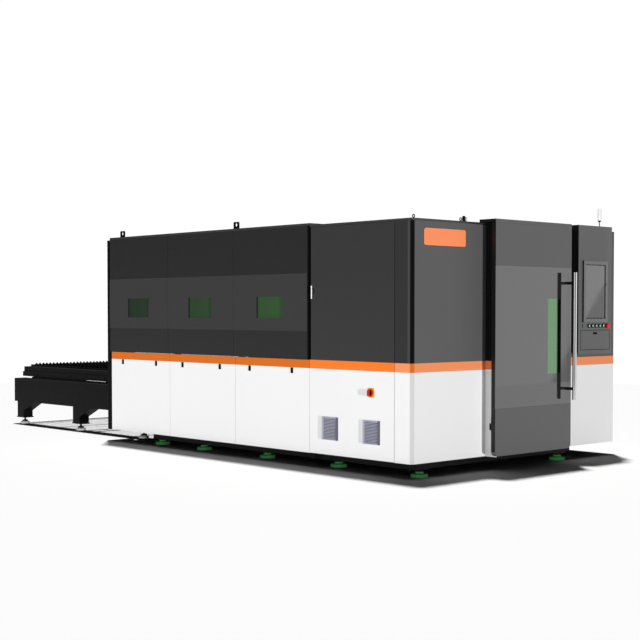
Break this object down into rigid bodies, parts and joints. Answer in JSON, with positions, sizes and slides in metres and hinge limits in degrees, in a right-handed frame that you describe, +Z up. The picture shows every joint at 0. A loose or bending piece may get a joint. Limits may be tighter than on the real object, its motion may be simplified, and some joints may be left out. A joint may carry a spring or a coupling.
{
  "type": "fiber laser cutting machine",
  "caption": "Enclosed sheet-metal laser cutter with gantry, front door, console and a two-level pallet exchange table behind it.",
  "frame": {"origin": "on the floor under the middle of the machine with its table", "axes": "+Z up, +Y from the operator's front towards the exchange table, +X to the console side"},
  "size_m": [2.955, 7.4769, 2.417],
  "materials": {
    "dark_grey_paint": "satin powder coat",
    "black_paint": "semi-gloss powder coat",
    "white_paint": "satin powder coat, orange stripe at its top",
    "gloss_black": "glossy",
    "green_glass": "laser-safe green",
    "screen_glass": "dark glossy",
    "bed_paint": "satin",
    "ground_steel": "ground",
    "bright_chrome": "polished",
    "green_plastic": "matte",
    "yellow_plastic": "gloss",
    "red_plastic": "gloss",
    "green_button": "gloss",
    "black_plastic": "matte",
    "grey_plastic": "matte",
    "white_metal": "gloss",
    "alloy": "anodised",
    "nylon": "matte"
  },
  "bodies": {
    "machine": {"bed_frame": "bed_paint", "levelling_pads": "green_plastic", "levelling_studs": "ground_steel", "gantry_rails": "ground_steel", "pallet_tracks": "bed_paint", "exchange_table": "black_paint", "table_feet": "black_plastic", "enclosure_frame": "black_paint", "front_left_panel": "dark_grey_paint", "front_right_panel": "dark_grey_paint", "left_access_panels": "white_paint", "left_upper_panels": "dark_grey_paint", "right_side_panels": "dark_grey_paint", "window_band": "gloss_black", "window_panes": "green_glass", "panel_clips": "black_plastic", "rear_portal": "black_paint", "roof_panels": "dark_grey_paint", "partition_wall": "dark_grey_paint", "laser_source": "white_metal", "lifting_lugs": "black_paint", "ring_eyes": "ground_steel", "signal_tower": "grey_plastic", "door_portal": "dark_grey_paint", "door_hood": "dark_grey_paint", "door_hinge_brackets": "black_paint", "cabinet_pivots": "black_paint", "console_box": "dark_grey_paint", "screen_bezel": "black_plastic", "screen_glass": "screen_glass"},
    "front_door": {"door_slab": "dark_grey_paint", "door_gloss_panel": "gloss_black", "door_window": "green_glass", "door_handle": "bright_chrome", "handle_standoffs": "black_plastic", "door_hinge_leaves": "black_paint"},
    "cabinet_door": {"cabinet_door": "dark_grey_paint", "cabinet_vents": "black_paint", "isolator_plate": "yellow_plastic"},
    "lock_lever": {"lock_lever": "white_metal"},
    "isolator_knob": {"isolator_knob": "red_plastic"},
    "gantry": {"gantry_beam": "white_metal", "gantry_motors": "black_plastic", "beam_rails": "ground_steel"},
    "x_carriage": {"x_carriage": "alloy"},
    "cutting_head": {"cutting_head": "alloy"},
    "outer_pallet": {"outer_pallet_frame": "black_paint", "outer_pallet_slats": "ground_steel", "outer_pallet_wheels": "nylon"},
    "inner_pallet": {"inner_pallet_frame": "black_paint", "inner_pallet_slats": "ground_steel", "inner_pallet_wheels": "nylon"},
    "keyboard_flap": {"keyboard_flap": "dark_grey_paint"},
    "emergency_stop": {"emergency_stop": "red_plastic"},
    "button_1": {"button_1": "green_button"},
    "button_2": {"button_2": "green_button"},
    "button_3": {"button_3": "green_button"},
    "button_4": {"button_4": "green_button"},
    "button_5": {"button_5": "green_button"}
  },
  "joints": [
    {"name": "front_door_hinge", "type": "hinge", "parent": "machine", "child": "front_door", "pos_m": [-0.5235, -3.5665, 0.42], "axis": [0, 0, -1], "range_deg": [0, 110]},
    {"name": "cabinet_door_hinge", "type": "hinge", "parent": "machine", "child": "cabinet_door", "pos_m": [-1.4205, -3.2385, 0.12], "axis": [0, 0, 1], "range_deg": [0, 100]},
    {"name": "lock_turn", "type": "hinge", "parent": "cabinet_door", "child": "lock_lever", "pos_m": [-1.4285, -2.2185, 1.581], "axis": [1, 0, 0], "range_deg": [0, 90]},
    {"name": "isolator_turn", "type": "hinge", "parent": "cabinet_door", "child": "isolator_knob", "pos_m": [-1.4285, -2.9705, 0.706], "axis": [1, 0, 0], "range_deg": [0, 90]},
    {"name": "gantry_travel", "type": "slide", "parent": "machine", "child": "gantry", "axis": [0, 1, 0], "range_m": [-0.2, 2.45]},
    {"name": "carriage_travel", "type": "slide", "parent": "gantry", "child": "x_carriage", "axis": [1, 0, 0], "range_m": [-0.585, 0.585]},
    {"name": "head_height", "type": "slide", "parent": "x_carriage", "child": "cutting_head", "axis": [0, 0, 1], "range_m": [-0.22, 0]},
    {"name": "outer_pallet_travel", "type": "slide", "parent": "machine", "child": "outer_pallet", "axis": [0, -1, 0], "range_m": [0, 2.65]},
    {"name": "inner_pallet_travel", "type": "slide", "parent": "machine", "child": "inner_pallet", "axis": [0, -1, 0], "range_m": [-2.65, 0]},
    {"name": "flap_hinge", "type": "hinge", "parent": "machine", "child": "keyboard_flap", "pos_m": [1.0475, -3.5275, 1.049], "axis": [1, 0, 0], "range_deg": [0, 90]},
    {"name": "stop_push", "type": "slide", "parent": "machine", "child": "emergency_stop", "axis": [0, 1, 0], "range_m": [0, 0.006]},
    {"name": "button_1_push", "type": "slide", "parent": "machine", "child": "button_1", "axis": [0, 1, 0], "range_m": [0, 0.004], "stiffness_N_per_m": 400},
    {"name": "button_2_push", "type": "slide", "parent": "machine", "child": "button_2", "axis": [0, 1, 0], "range_m": [0, 0.004], "stiffness_N_per_m": 400},
    {"name": "button_3_push", "type": "slide", "parent": "machine", "child": "button_3", "axis": [0, 1, 0], "range_m": [0, 0.004], "stiffness_N_per_m": 400},
    {"name": "button_4_push", "type": "slide", "parent": "machine", "child": "button_4", "axis": [0, 1, 0], "range_m": [0, 0.004], "stiffness_N_per_m": 400},
    {"name": "button_5_push", "type": "slide", "parent": "machine", "child": "button_5", "axis": [0, 1, 0], "range_m": [0, 0.004], "stiffness_N_per_m": 400}
  ],
  "couplings": [
    {"joint": "inner_pallet_travel", "follows": "outer_pallet_travel", "ratio": -1}
  ]
}
